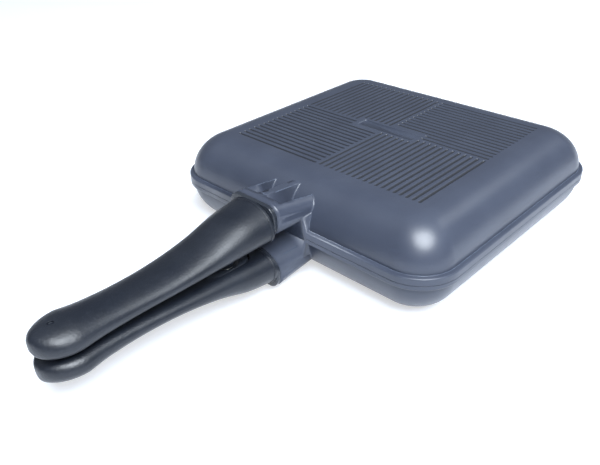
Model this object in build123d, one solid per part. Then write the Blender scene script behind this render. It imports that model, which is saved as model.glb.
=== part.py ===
from build123d import *
import math
import os
from dataclasses import dataclass

# Double sided flip pan: two cast half pans joined by a hinge at the back, each with a moulded grip.
# Millimetres. X across the pan, the grips point to -Y, the hinge is at +Y, Z is up.
# The origin is the centre of the lower pan's base, on the surface that the pan stands on.
# Each half is drawn in its own local frame: Z is the distance outward from the parting plane.

# Half pans
PAN_WIDTH = 290.0
PAN_DEPTH = 271.0
FRONT = PAN_DEPTH / 2
RIM_CORNER = 36.5
UPPER_LEDGE = 4.0
LOWER_LEDGE = 3.0
RIM_GAP = 0.4
UPPER_FLANGE = 6.0
LOWER_FLANGE = 4.2
UPPER_RISE = 34.5
LOWER_RISE = 35.4
PLATEAU_INSET = 37.7
PLATEAU_CORNER = 11.0
WALL = 3.2
FLOOR = 4.2
WALL_STEPS = 6
RIM_EDGE_ROUND = 1.2

# Silicone rim seal, seated in a groove of the lower flange
SEAL_WIDTH = 2.4
SEAL_INSET = 2.4
SEAL_GROOVE_DEPTH = 2.4
SEAL_CLEARANCE = 0.1
SEAL_TOP_CLEARANCE = 0.1

# Grooved pattern on both flat faces: four fields, turned by a quarter from one to the next
COLUMNS = 35
COLUMN_PITCH = 5.87
ROWS = 31
ROW_PITCH = 6.06
PATTERN_Y = 2.7
GROOVE_WIDTH = 3.2
GROOVE_DEPTH = 1.0
GROOVE_TAPER = 30.0
PANEL_X = -1.25
PANEL_Y = 5.3
PANEL_WIDTH = 61.5
PANEL_DEPTH = 13.5
PANEL_CORNER = 2.0
PANEL_LAND_X = 3.7
PANEL_LAND_Y = 2.0
UPPER_PANEL_SINK = 0.9

# Cast handle bracket on each half; its places along the grip start from the pan's front edge
BRACKET_END = FRONT + 26.5
BRACKET_ROOT = FRONT - 23.5
HANDLE_LIFT = 2.4
COLLAR_HALF_WIDTH = 25.0
ROOT_HALF_WIDTH = 27.0
COLLAR_INNER = 5.5
COLLAR_OUTER = 37.2
COLLAR_MIDDLE = 20.5
ROOT_INNER = 6.5
ROOT_OUTER = 32.3
ROOT_MIDDLE = 19.0
COLLAR_SHOULDER = (10.0, 10.0)
ROOT_SHOULDER = (22.0, 12.5)
BRACKET_RIB = 7.5
BRACKET_RAIL = 6.0
COLLAR_BAND = 7.0
WINDOW_FLOOR = 11.0
WINDOW_CORNER = 2.5
BACK_PLATE_HALF_WIDTH = 27.2
BACK_PLATE_STAND = 2.5
BACK_PLATE_TOP = 18.5
JOINT_ROUND = 1.5
JOINT_TOLERANCE = 0.01

# Tang, cast with the bracket, and the moulded grip on it
TANG_WIDTH = 24.0
TANG_LOW = 15.5
TANG_HIGH = 23.5
TANG_END = FRONT + 68.5
TANG_CLEARANCE = 0.15
TANG_CHAMFER = 1.0
GUARD_THICKNESS = 3.6
COLLAR_GAP = 0.9
GUARD_GAP = 0.3
GUARD_SINK = 0.3
GRIP_TIP = FRONT + 217.0
GRIP_TIP_ROUND = 26.0
GRIP_INNER_AT_PAN = 6.4
GRIP_INNER_AT_TIP = 0.6
GRIP_CORNER_SHARE = 0.44
GRIP_WAIST_SHARE = 0.4
GRIP_BEAD_LENGTH = 2.8
GRIP_BEAD_STAND = 0.6
GRIP_START = BRACKET_END + COLLAR_GAP + GUARD_THICKNESS + GUARD_GAP
GRIP_STEP = 6.0
# Distance from the pan's middle, half width and outer height of the grip along its length
GRIP_STATIONS = (
    (GRIP_START, 25.3, 36.9),
    (FRONT + 54.5, 24.2, 33.5),
    (FRONT + 84.5, 21.8, 24.0),
    (FRONT + 114.5, 19.8, 18.7),
    (FRONT + 144.5, 18.3, 17.6),
    (FRONT + 174.5, 18.7, 18.9),
    (GRIP_TIP - GRIP_TIP_ROUND, 20.6, 20.9),
)
DIMPLE_FROM_TIP = 17.0
DIMPLE_DIAMETER = 3.2
DIMPLE_DEPTH = 1.6

# Magnet carrier, let into the inner face of each grip
CARRIER_LENGTH = 43.0
CARRIER_WIDTH = 22.0
CARRIER_PLACE = FRONT + 63.5
CARRIER_FACE = 6.1
CARRIER_THICKNESS = 3.8
CARRIER_CLEARANCE = 1.3
CARRIER_CHAMFER = 0.5
DISH_PLACE = FRONT + 61.5
DISH_DIAMETER = 20.0
DISH_FLOOR_DIAMETER = 15.0
DISH_DEPTH = 1.9
DISH_MAGNET_DIAMETER = 12.0
BOSS_MAGNET_DIAMETER = 9.0
MAGNET_THICKNESS = 1.5
MAGNET_CLEARANCE = 0.1
BOSS_DIAMETER = 15.0
BOSS_TIP_DIAMETER = 12.6
BOSS_REST_GAP = 0.5
CARRIER_SCREW_PITCH = 35.0
CARRIER_SCREW_HEAD = 5.0
CARRIER_SCREW_HEAD_HEIGHT = 1.4
CARRIER_SCREW_SHANK = 2.5
CARRIER_SCREW_LENGTH = 8.0
SCREW_CLEARANCE = 0.05
SCREW_END_GAP = 0.5
CROSS_LENGTH = 3.0
CROSS_WIDTH = 0.6
CROSS_DEPTH = 0.5

# Screw and washer that hold the grip on the tang
GRIP_SCREW_PLACE = FRONT + 52.5
GRIP_SCREW_DIAMETER = 5.0
GRIP_SCREW_HEAD = 9.0
GRIP_SCREW_HEAD_HEIGHT = 2.0
GRIP_SCREW_END = 22.5
WASHER_DIAMETER = 10.0
WASHER_THICKNESS = 0.9
WASHER_SPLIT = 0.6
COUNTERBORE_FLOOR = 13.0
COUNTERBORE_CLEARANCE = 0.4
HEX_SOCKET = 3.0
HEX_DEPTH = 1.2

# Hinge
HINGE_PLACE = 80.0
HINGE_STAND = 7.5
KNUCKLE_RADIUS = 5.5
UPPER_KNUCKLE_WIDTH = 12.0
LOWER_KNUCKLE_WIDTH = 8.0
KNUCKLE_GAP = 0.4
PIN_DIAMETER = 4.0
PIN_RUNNING_CLEARANCE = 0.05
PIN_HEAD_DIAMETER = 7.0
PIN_HEAD_THICKNESS = 1.8
PIN_TAIL = 2.4
CLIP_DIAMETER = 8.0
CLIP_THICKNESS = 0.8
CLIP_GAP = 0.3
CLIP_GROOVE_DEPTH = 0.5
CLIP_MOUTH = 2.6
OPENING_ANGLE = 110.0
HEEL_LENGTH = 10.5
HEEL_THICKNESS = 5.0
STOP_GAP = 0.15
STOP_DEPTH = 9.8
STOP_ROOT = 5.5
HINGE_ARM = 3.0
HINGE_ROOT = 2.0

HALF_GAP = RIM_GAP / 2
PARTING = LOWER_RISE + LOWER_FLANGE + HALF_GAP
HINGE_Y = FRONT + HINGE_STAND


@dataclass
class Half:
    """One half of the pan: its rim, rise, panel, handle's lift off the rim, magnet and side."""

    name: str
    flange: float
    ledge: float
    rise: float
    panel_sink: float
    lift: float
    magnet: float
    side: int

    def place(self, shape):
        """Puts a shape drawn in the half's local frame where it belongs."""
        if self.side < 0:
            shape = mirror(shape, about=Plane.XY)
        return Pos(0, 0, PARTING) * shape

    def place_handle(self, shape):
        """Puts a shape drawn from the plane between the grips where it belongs."""
        return self.place(Pos(0, 0, self.lift) * shape)


UPPER = Half(
    name="upper",
    flange=UPPER_FLANGE,
    ledge=UPPER_LEDGE,
    rise=UPPER_RISE,
    panel_sink=UPPER_PANEL_SINK,
    lift=HANDLE_LIFT,
    magnet=BOSS_MAGNET_DIAMETER,
    side=1,
)
LOWER = Half(
    name="lower",
    flange=LOWER_FLANGE,
    ledge=LOWER_LEDGE,
    rise=LOWER_RISE,
    panel_sink=0.0,
    lift=-HANDLE_LIFT,
    magnet=DISH_MAGNET_DIAMETER,
    side=-1,
)


def across(y):
    """Plane square to the grips at the distance y from the pan's middle; its Y is up."""
    return Plane(origin=(0, -y, 0), x_dir=(1, 0, 0), z_dir=(0, -1, 0))


def slab(width, depth, corner, low, high):
    """Rounded rectangle between two heights."""
    return extrude(Pos(0, 0, low) * RectangleRounded(width, depth, corner), amount=high - low)


def upright(radius, x, y, low, high):
    """Round bar along Z between two heights."""
    return Pos(x, y, low) * Cylinder(radius, high - low, align=(Align.CENTER, Align.CENTER, Align.MIN))


def bar_along_x(radius, start, length, y=HINGE_Y, z=0.0):
    """Round bar along X from a start."""
    turned = Rot(0, 90, 0) * Cylinder(radius, length, align=(Align.CENTER, Align.CENTER, Align.MIN))
    return Pos(start, y, z) * turned


def dome(inset, low, run, rise, top_corner):
    """Body of a half pan inside the rim by an inset, whose wall follows a quarter ellipse."""
    sections = []
    for step in range(WALL_STEPS + 1):
        angle = math.radians(90.0 * step / WALL_STEPS)
        sunk = run * (1 - math.cos(angle))
        corner = RIM_CORNER - inset + (top_corner - RIM_CORNER + inset) * sunk / run
        outline = RectangleRounded(PAN_WIDTH - 2 * (inset + sunk), PAN_DEPTH - 2 * (inset + sunk), corner)
        sections.append(Pos(0, 0, low + rise * math.sin(angle)) * outline)
    return loft(sections)


def groove(start, end, offset, along_y, face):
    """Cutter of one groove with round ends and sloping sides."""
    middle = (start + end) / 2
    x, y, turn = (offset, middle, 90) if along_y else (middle, offset, 0)
    outline = Pos(x, y, face) * Rot(0, 0, turn) * SlotOverall(end - start, GROOVE_WIDTH)
    return extrude(outline, amount=-GROOVE_DEPTH, taper=GROOVE_TAPER)


def pattern_cutters(half):
    """Cutters of the four grooved fields and of the bare panel in their middle."""
    face = HALF_GAP + half.flange + half.rise
    edge = GROOVE_WIDTH / 2
    column_reach = (COLUMNS - 1) / 2 * COLUMN_PITCH
    row_reach = (ROWS - 1) / 2 * ROW_PITCH
    border_x = -COLUMN_PITCH / 2
    border_y = PATTERN_Y + ROW_PITCH / 2
    land_x = PANEL_WIDTH / 2 + PANEL_LAND_X
    land_y = PANEL_DEPTH / 2 + PANEL_LAND_Y
    cutters = []
    for column in range(COLUMNS):
        x = column * COLUMN_PITCH - column_reach
        near_panel = abs(x - PANEL_X) < land_x
        if x < border_x:
            start = PANEL_Y + land_y if near_panel else border_y + ROW_PITCH / 2 - edge
            cutters.append(groove(start, PATTERN_Y + row_reach + edge, x, True, face))
        else:
            end = PANEL_Y - land_y if near_panel else border_y - ROW_PITCH / 2 + edge
            cutters.append(groove(PATTERN_Y - row_reach - edge, end, x, True, face))
    for row in range(ROWS):
        y = PATTERN_Y + row * ROW_PITCH - row_reach
        near_panel = abs(y - PANEL_Y) < PANEL_DEPTH / 2 + PANEL_LAND_X
        if y > border_y:
            start = PANEL_X + land_x if near_panel else border_x + COLUMN_PITCH / 2 - edge
            cutters.append(groove(start, column_reach + edge, y, False, face))
        else:
            end = PANEL_X - land_x if near_panel else border_x - COLUMN_PITCH / 2 + edge
            cutters.append(groove(-column_reach - edge, end, y, False, face))
    if half.panel_sink:
        panel = slab(PANEL_WIDTH, PANEL_DEPTH, PANEL_CORNER, face - half.panel_sink, face + 1)
        cutters.append(Pos(PANEL_X, PANEL_Y, 0) * panel)
    return cutters


def bracket_section(y, half_width, inner, middle, outer, shoulder):
    """Section of the bracket: half an ellipse inside, a flat with oval shoulders outside."""
    run, drop = shoulder
    flat = half_width - run
    low = EllipticalCenterArc((0, middle), half_width, middle - inner, start_angle=180, arc_size=180)
    right = Line((half_width, middle), (half_width, outer - drop))
    right_arc = EllipticalCenterArc((flat, outer - drop), run, drop, start_angle=0, arc_size=90)
    top = Line((flat, outer), (-flat, outer))
    left_arc = EllipticalCenterArc((-flat, outer - drop), run, drop, start_angle=90, arc_size=90)
    left = Line((-half_width, outer - drop), (-half_width, middle))
    return across(y) * make_face([low, right, right_arc, top, left_arc, left])


def collar_section(y, inset=0.0):
    """Section of the bracket's collar, drawn smaller by an inset."""
    return bracket_section(
        y,
        COLLAR_HALF_WIDTH - inset,
        COLLAR_INNER + inset,
        COLLAR_MIDDLE,
        COLLAR_OUTER - inset,
        COLLAR_SHOULDER,
    )


def bracket_windows():
    """Cutters of the two windows, one each side of the middle rib."""
    inside = BRACKET_RIB / 2
    outside = COLLAR_HALF_WIDTH - BRACKET_RAIL
    far_outside = ROOT_HALF_WIDTH - BRACKET_RAIL
    near, far = (BRACKET_END - COLLAR_BAND, BRACKET_ROOT)
    cutters = []
    for sign in (-1, 1):
        corners = [(inside, -near), (outside, -near), (far_outside, -far), (inside, -far)]
        corners = [(sign * x, y) for x, y in corners]
        outline = make_face(Polyline(*corners, close=True))
        outline = fillet(outline.vertices(), WINDOW_CORNER)
        cutters.append(extrude(Pos(0, 0, WINDOW_FLOOR) * outline, amount=COLLAR_OUTER))
    return cutters


def bracket(lift):
    """Handle bracket with its collar, windows and tang, and the plate behind it."""
    root = bracket_section(
        BRACKET_ROOT,
        ROOT_HALF_WIDTH,
        ROOT_INNER,
        ROOT_MIDDLE,
        ROOT_OUTER,
        ROOT_SHOULDER,
    )
    body = loft([root, collar_section(BRACKET_END)])
    plate_front = FRONT + BACK_PLATE_STAND
    plate_back = FRONT - UPPER_LEDGE - 2 * WALL
    plate_low = HALF_GAP - lift
    plate = Box(
        2 * BACK_PLATE_HALF_WIDTH,
        plate_front - plate_back,
        BACK_PLATE_TOP - plate_low,
        align=(Align.CENTER, Align.MAX, Align.MIN),
    )
    plate = Pos(0, -plate_back, plate_low) * plate
    tang_root = BRACKET_END - COLLAR_BAND / 2
    tang = Box(
        TANG_WIDTH,
        TANG_END - tang_root,
        TANG_HIGH - TANG_LOW,
        align=(Align.CENTER, Align.MAX, Align.MIN),
    )
    tang = Pos(0, -tang_root, TANG_LOW) * tang
    tang = chamfer(tang.faces().sort_by(Axis.Y)[0].edges(), TANG_CHAMFER)
    bore_end = GRIP_SCREW_END + SCREW_END_GAP
    bore_radius = GRIP_SCREW_DIAMETER / 2 + SCREW_CLEARANCE
    bore = upright(bore_radius, 0, -GRIP_SCREW_PLACE, TANG_LOW - 1, bore_end)
    return Pos(0, 0, lift) * (body + plate - bracket_windows() + (tang - bore))


def bracket_joint(casting, wall, seat):
    """Edges along which the bracket, but not its back plate, meets the curved wall of the body."""
    skin = wall.shell()
    top = wall.bounding_box().max.Z
    inside_plate = BACK_PLATE_HALF_WIDTH - JOINT_TOLERANCE
    joint = []
    for edge in casting.edges():
        points = [edge @ share for share in (0, 0.5, 1)]
        near = all(p.Y < 0 and abs(p.X) < inside_plate and seat < p.Z < top for p in points)
        if near and all(skin.distance_to(Vertex(p.X, p.Y, p.Z)) < JOINT_TOLERANCE for p in points):
            joint.append(edge)
    return joint


def pan(half):
    """Casting of one half in its local frame, without its hinge."""
    seat = HALF_GAP + half.flange
    run = PLATEAU_INSET - half.ledge
    flange = slab(PAN_WIDTH, PAN_DEPTH, RIM_CORNER, HALF_GAP, seat)
    flange = fillet(flange.edges().group_by(Axis.Z)[-1], RIM_EDGE_ROUND)
    wall = dome(half.ledge, seat - RIM_EDGE_ROUND, run, half.rise + RIM_EDGE_ROUND, PLATEAU_CORNER)
    body = flange + wall + bracket(half.lift)
    body = fillet(bracket_joint(body, wall, seat), JOINT_ROUND)
    inner = half.ledge + WALL
    body -= dome(inner, seat, run - WALL / 2, half.rise - FLOOR, PLATEAU_CORNER - WALL)
    body -= slab(PAN_WIDTH - 2 * inner, PAN_DEPTH - 2 * inner, RIM_CORNER - inner, 0, seat)
    return body - pattern_cutters(half)


def seal_groove():
    """Cutter of the seal's groove, in the lower half's local frame."""
    out = SEAL_INSET - SEAL_CLEARANCE
    into = SEAL_INSET + SEAL_WIDTH + SEAL_CLEARANCE
    return rim_ring(out, into, HALF_GAP - 1, HALF_GAP + SEAL_GROOVE_DEPTH)


def rim_ring(out, into, low, high):
    """Ring that follows the rim between two insets and two heights."""
    outer = slab(PAN_WIDTH - 2 * out, PAN_DEPTH - 2 * out, RIM_CORNER - out, low, high)
    return outer - slab(PAN_WIDTH - 2 * into, PAN_DEPTH - 2 * into, RIM_CORNER - into, low - 1, high + 1)


def rim_seal():
    """Silicone seal in its groove; it reaches across the gap at the rim."""
    out, into = (SEAL_INSET, SEAL_INSET + SEAL_WIDTH)
    return rim_ring(out, into, SEAL_TOP_CLEARANCE - HALF_GAP, HALF_GAP + SEAL_GROOVE_DEPTH)


def hinge_arm(start, width, bore):
    """Knuckle on the parting plane, with the arm that joins it to the flange."""
    root = FRONT - HINGE_ROOT
    arm = Box(width, HINGE_Y - root, HINGE_ARM, align=(Align.MIN, Align.MIN, Align.MIN))
    arm = Pos(start, root, HALF_GAP) * arm
    knuckle = bar_along_x(KNUCKLE_RADIUS, start, width)
    return arm + knuckle - bar_along_x(bore, start - 1, width + 2)


def upper_hinge(middle):
    """Middle knuckle of one hinge, with the heel that limits the opening."""
    start = middle - UPPER_KNUCKLE_WIDTH / 2
    heel = Box(
        UPPER_KNUCKLE_WIDTH,
        HEEL_LENGTH,
        HEEL_THICKNESS,
        align=(Align.CENTER, Align.MIN, Align.CENTER),
    )
    heel = Pos(middle, HINGE_Y, 0) * heel
    arm = hinge_arm(start, UPPER_KNUCKLE_WIDTH, PIN_DIAMETER / 2 + PIN_RUNNING_CLEARANCE)
    bore = bar_along_x(PIN_DIAMETER / 2 + PIN_RUNNING_CLEARANCE, start - 1, UPPER_KNUCKLE_WIDTH + 2)
    return arm + (heel - bore)


def lower_hinge(middle):
    """Two outer knuckles of one hinge, with the block that the heel stops on."""
    bore = PIN_DIAMETER / 2 + SCREW_CLEARANCE
    inner = UPPER_KNUCKLE_WIDTH / 2 + KNUCKLE_GAP
    parts = hinge_arm(middle + inner, LOWER_KNUCKLE_WIDTH, bore)
    parts += hinge_arm(middle - inner - LOWER_KNUCKLE_WIDTH, LOWER_KNUCKLE_WIDTH, bore)
    angle = math.radians(OPENING_ANGLE)
    offset = HEEL_THICKNESS / 2 + STOP_GAP
    face = []
    for depth in (KNUCKLE_RADIUS - 1, STOP_DEPTH):
        reach = (depth - offset * math.cos(angle)) / math.sin(angle)
        face.append((HINGE_Y - offset * math.sin(angle) + reach * math.cos(angle), depth))
    root = FRONT - STOP_ROOT
    outline = make_face(Polyline((root, face[0][1]), face[0], face[1], (root, face[1][1]), close=True))
    width = 2 * inner + LOWER_KNUCKLE_WIDTH
    return parts + extrude(Plane.YZ.offset(middle - width / 2) * outline, amount=width)


def hinge_pin(side):
    """Headed pin of one hinge; its clip's groove is at the end nearer the pan's middle."""
    half = UPPER_KNUCKLE_WIDTH / 2 + KNUCKLE_GAP + LOWER_KNUCKLE_WIDTH
    radius = PIN_DIAMETER / 2
    pin = bar_along_x(radius, -half - PIN_TAIL, 2 * half + PIN_TAIL)
    pin += bar_along_x(PIN_HEAD_DIAMETER / 2, half, PIN_HEAD_THICKNESS)
    cut = bar_along_x(PIN_HEAD_DIAMETER / 2, -half - CLIP_GAP - CLIP_THICKNESS, CLIP_THICKNESS)
    cut -= bar_along_x(radius - CLIP_GROOVE_DEPTH, -half - PIN_TAIL - 1, PIN_TAIL + 2)
    return place_on_hinge(pin - cut, side)


def hinge_clip(side):
    """Open retaining clip in the pin's groove."""
    half = UPPER_KNUCKLE_WIDTH / 2 + KNUCKLE_GAP + LOWER_KNUCKLE_WIDTH
    start = -half - CLIP_GAP - CLIP_THICKNESS + SCREW_CLEARANCE
    thickness = CLIP_THICKNESS - 2 * SCREW_CLEARANCE
    clip = bar_along_x(CLIP_DIAMETER / 2, start, thickness)
    clip -= bar_along_x(PIN_DIAMETER / 2 - CLIP_GROOVE_DEPTH + SCREW_CLEARANCE, start - 1, thickness + 2)
    mouth = Box(thickness + 2, CLIP_DIAMETER, CLIP_MOUTH, align=(Align.MIN, Align.MIN, Align.CENTER))
    return place_on_hinge(clip - Pos(start - 1, HINGE_Y, 0) * mouth, side)


def place_on_hinge(shape, side):
    """Moves a hinge piece from the middle of the pan to the right or the left hinge."""
    if side < 0:
        shape = mirror(shape, about=Plane.YZ)
    return Pos(side * HINGE_PLACE, 0, 0) * shape


def guard():
    """Flame guard between the collar and the grip, round the tang."""
    ring = extrude(collar_section(BRACKET_END + COLLAR_GAP, GUARD_SINK), amount=GUARD_THICKNESS)
    hole = Box(
        TANG_WIDTH + 2 * TANG_CLEARANCE,
        4 * GUARD_THICKNESS,
        TANG_HIGH - TANG_LOW + 2 * TANG_CLEARANCE,
    )
    return ring - Pos(0, -BRACKET_END, (TANG_LOW + TANG_HIGH) / 2) * hole


def grip_inner(y):
    """Height of the grip's inner face at a distance from the pan's middle."""
    share = (y - GRIP_START) / (GRIP_TIP - GRIP_START)
    return GRIP_INNER_AT_PAN + (GRIP_INNER_AT_TIP - GRIP_INNER_AT_PAN) * share


def grip_slope(index, column):
    """Slope of a station's value, from its neighbours on both sides."""
    before = GRIP_STATIONS[max(index - 1, 0)]
    after = GRIP_STATIONS[min(index + 1, len(GRIP_STATIONS) - 1)]
    return (after[column] - before[column]) / (after[0] - before[0])


def grip_size(y):
    """Half width and outer height of the grip, on smooth curves through the stations."""
    index = sum(1 for station in GRIP_STATIONS[1:-1] if station[0] <= y)
    near, far = (GRIP_STATIONS[index], GRIP_STATIONS[index + 1])
    length = far[0] - near[0]
    t = (y - near[0]) / length
    sizes = []
    for column in (1, 2):
        leaving = grip_slope(index, column) * length
        arriving = grip_slope(index + 1, column) * length
        change = far[column] - near[column]
        bend = 3 * change - 2 * leaving - arriving
        sizes.append(near[column] + leaving * t + bend * t**2 + (leaving + arriving - 2 * change) * t**3)
    return sizes


def grip_section(y, half_width, inner, outer):
    """Section of the grip: a flat inner face with round corners and half an ellipse outside."""
    waist = inner + GRIP_WAIST_SHARE * (outer - inner)
    run = GRIP_CORNER_SHARE * half_width
    flat = half_width - run
    low = Line((-flat, inner), (flat, inner))
    right = EllipticalCenterArc((flat, waist), run, waist - inner, start_angle=270, arc_size=90)
    top = EllipticalCenterArc((0, waist), half_width, outer - waist, start_angle=0, arc_size=180)
    left = EllipticalCenterArc((-flat, waist), run, waist - inner, start_angle=180, arc_size=90)
    return across(y) * make_face([low, right, top, left])


def grip_body():
    """Moulded grip without its bead and pockets, lofted to its round tip."""
    sections = []
    start = GRIP_START + GRIP_BEAD_LENGTH
    last, half_width, outer = GRIP_STATIONS[-1]
    steps = round((last - start) / GRIP_STEP)
    for step in range(steps + 1):
        y = start + (last - start) * step / steps
        sections.append(grip_section(y, grip_size(y)[0], grip_inner(y), grip_size(y)[1]))
    for degrees in (25, 45, 60, 72, 82):
        angle = math.radians(degrees)
        place = last + GRIP_TIP_ROUND * math.sin(angle)
        inner = grip_inner(place)
        middle = inner + (outer - inner) / 2
        narrow, thin = (math.cos(angle), math.sqrt(math.cos(angle)))
        sections.append(
            grip_section(
                place,
                half_width * narrow,
                middle - (middle - inner) * thin,
                middle + (outer - middle) * thin,
            )
        )
    return loft(sections)


def grip():
    """Moulded grip with its bead, tang socket, carrier pocket and screw holes."""
    bead = extrude(
        grip_section(
            GRIP_START,
            GRIP_STATIONS[0][1] + GRIP_BEAD_STAND,
            GRIP_INNER_AT_PAN - GRIP_BEAD_STAND,
            GRIP_STATIONS[0][2] + GRIP_BEAD_STAND / 2,
        ),
        amount=GRIP_BEAD_LENGTH,
    )
    body = grip_body() + bead
    socket = Box(
        TANG_WIDTH + 2 * TANG_CLEARANCE,
        TANG_END + TANG_CLEARANCE - GRIP_START + 1,
        TANG_HIGH - TANG_LOW + 2 * TANG_CLEARANCE,
        align=(Align.CENTER, Align.MAX, Align.MIN),
    )
    body -= Pos(0, 1 - GRIP_START, TANG_LOW - TANG_CLEARANCE) * socket
    pocket_floor = CARRIER_FACE + CARRIER_THICKNESS
    body -= carrier_outline(CARRIER_CLEARANCE, -GRIP_INNER_AT_PAN, pocket_floor)
    washer_hole = WASHER_DIAMETER / 2 + COUNTERBORE_CLEARANCE
    body -= upright(washer_hole, 0, -GRIP_SCREW_PLACE, pocket_floor - 1, COUNTERBORE_FLOOR)
    screw_hole = GRIP_SCREW_DIAMETER / 2 + TANG_CLEARANCE
    body -= upright(screw_hole, 0, -GRIP_SCREW_PLACE, COUNTERBORE_FLOOR - 1, TANG_LOW)
    for y in carrier_screw_places():
        depth = CARRIER_FACE + CARRIER_SCREW_LENGTH + SCREW_END_GAP
        body -= upright(CARRIER_SCREW_SHANK / 2 + SCREW_CLEARANCE, 0, -y, pocket_floor - 1, depth)
    dimple = GRIP_STATIONS[-1][2] - DIMPLE_DEPTH
    body -= upright(DIMPLE_DIAMETER / 2, 0, DIMPLE_FROM_TIP - GRIP_TIP, dimple, dimple + 4 * DIMPLE_DEPTH)
    return body


def carrier_outline(clearance, low, high):
    """Stadium of the magnet carrier between two heights."""
    outline = SlotOverall(CARRIER_LENGTH + 2 * clearance, CARRIER_WIDTH + 2 * clearance)
    return extrude(Pos(0, -CARRIER_PLACE, low) * Rot(0, 0, 90) * outline, amount=high - low)


def carrier_screw_places():
    """Distances of the two carrier screws from the pan's middle."""
    half = CARRIER_SCREW_PITCH / 2
    return (CARRIER_PLACE - half, CARRIER_PLACE + half)


def countersunk(clearance, length):
    """Body of a countersunk carrier screw, its flat head in the carrier's face."""
    head = CARRIER_SCREW_HEAD / 2 + clearance
    shank = CARRIER_SCREW_SHANK / 2 + clearance
    align = (Align.CENTER, Align.CENTER, Align.MIN)
    cone = Cone(head, shank, CARRIER_SCREW_HEAD_HEIGHT, align=align)
    return cone + Cylinder(shank, length, align=align)


def carrier(half):
    """Magnet carrier: dished to take the other half's boss, or with that boss on it."""
    plate = carrier_outline(0, CARRIER_FACE, CARRIER_FACE + CARRIER_THICKNESS)
    plate = chamfer(plate.edges().group_by(Axis.Z)[0], CARRIER_CHAMFER)
    at_dish = Pos(0, -DISH_PLACE, CARRIER_FACE)
    align_up = (Align.CENTER, Align.CENTER, Align.MIN)
    align_down = (Align.CENTER, Align.CENTER, Align.MAX)
    magnet_hole = Cylinder(half.magnet / 2 + MAGNET_CLEARANCE, MAGNET_THICKNESS, align=align_up)
    if half is UPPER:
        plate += at_dish * Cone(BOSS_TIP_DIAMETER / 2, BOSS_DIAMETER / 2, boss_length(), align=align_down)
        plate -= Pos(0, 0, -boss_length()) * at_dish * magnet_hole
    else:
        plate -= at_dish * Cone(DISH_DIAMETER / 2, DISH_FLOOR_DIAMETER / 2, DISH_DEPTH, align=align_up)
        plate -= Pos(0, 0, DISH_DEPTH) * at_dish * magnet_hole
    for y in carrier_screw_places():
        plate -= Pos(0, -y, CARRIER_FACE) * countersunk(SCREW_CLEARANCE, CARRIER_SCREW_LENGTH)
    return plate


def boss_length():
    """Length of the boss, from its carrier's face to just off the floor of the dish."""
    return 2 * CARRIER_FACE + DISH_DEPTH - BOSS_REST_GAP


def magnet(half):
    """Disc magnet in the boss or in the floor of the dish."""
    height = CARRIER_FACE - boss_length() if half is UPPER else CARRIER_FACE + DISH_DEPTH
    return upright(half.magnet / 2, 0, -DISH_PLACE, height, height + MAGNET_THICKNESS)


def carrier_screws():
    """The two countersunk screws that hold a magnet carrier."""
    screws = []
    for y in carrier_screw_places():
        screw = countersunk(0, CARRIER_SCREW_LENGTH)
        for turn in (0, 90):
            screw -= Rot(0, 0, turn) * Box(CROSS_LENGTH, CROSS_WIDTH, 2 * CROSS_DEPTH)
        screws.append(Pos(0, -y, CARRIER_FACE) * screw)
    return Compound(children=screws)


def grip_screw():
    """Low headed screw from the carrier's pocket into the tang."""
    seat = COUNTERBORE_FLOOR - WASHER_THICKNESS
    head = upright(GRIP_SCREW_HEAD / 2, 0, -GRIP_SCREW_PLACE, seat - GRIP_SCREW_HEAD_HEIGHT, seat)
    socket = extrude(RegularPolygon(HEX_SOCKET / math.sqrt(3), 6), amount=HEX_DEPTH)
    head -= Pos(0, -GRIP_SCREW_PLACE, seat - GRIP_SCREW_HEAD_HEIGHT) * socket
    return head + upright(GRIP_SCREW_DIAMETER / 2, 0, -GRIP_SCREW_PLACE, seat, GRIP_SCREW_END)


def grip_washer():
    """Split spring washer under the grip screw's head."""
    seat = COUNTERBORE_FLOOR - WASHER_THICKNESS
    ring = upright(WASHER_DIAMETER / 2, 0, -GRIP_SCREW_PLACE, seat, COUNTERBORE_FLOOR)
    hole = GRIP_SCREW_DIAMETER / 2 + TANG_CLEARANCE
    ring -= upright(hole, 0, -GRIP_SCREW_PLACE, seat - 1, COUNTERBORE_FLOOR + 1)
    align = (Align.MIN, Align.CENTER, Align.CENTER)
    split = Box(WASHER_DIAMETER, WASHER_SPLIT, 4 * WASHER_THICKNESS, align=align)
    return ring - Pos(0, -GRIP_SCREW_PLACE, seat) * split


def build():
    """Every piece of the pan by its node's name, in the part's frame."""
    pieces = {}
    upper_pan, lower_pan = (pan(UPPER), pan(LOWER))
    for side in (-1, 1):
        upper_pan += upper_hinge(side * HINGE_PLACE)
        lower_pan += lower_hinge(side * HINGE_PLACE)
    pieces["upper_pan"] = UPPER.place(upper_pan)
    pieces["lower_pan"] = LOWER.place(lower_pan - seal_groove())
    pieces["rim_seal"] = LOWER.place(rim_seal())
    for half in (UPPER, LOWER):
        pieces[half.name + "_flame_guard"] = half.place_handle(guard())
        pieces[half.name + "_grip"] = half.place_handle(grip())
        pieces[half.name + "_magnet_carrier"] = half.place_handle(carrier(half))
        pieces[half.name + "_magnet"] = half.place_handle(magnet(half))
        pieces[half.name + "_carrier_screws"] = half.place_handle(carrier_screws())
        pieces[half.name + "_grip_screw"] = half.place_handle(grip_screw())
        pieces[half.name + "_grip_washer"] = half.place_handle(grip_washer())
    for side, name in ((1, "right"), (-1, "left")):
        pieces["hinge_pin_" + name] = Pos(0, 0, PARTING) * hinge_pin(side)
        pieces["hinge_clip_" + name] = Pos(0, 0, PARTING) * hinge_clip(side)
    return pieces


os.makedirs("parts", exist_ok=True)
for node, piece in build().items():
    export_step(piece, os.path.join("parts", node + ".step"))
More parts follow.
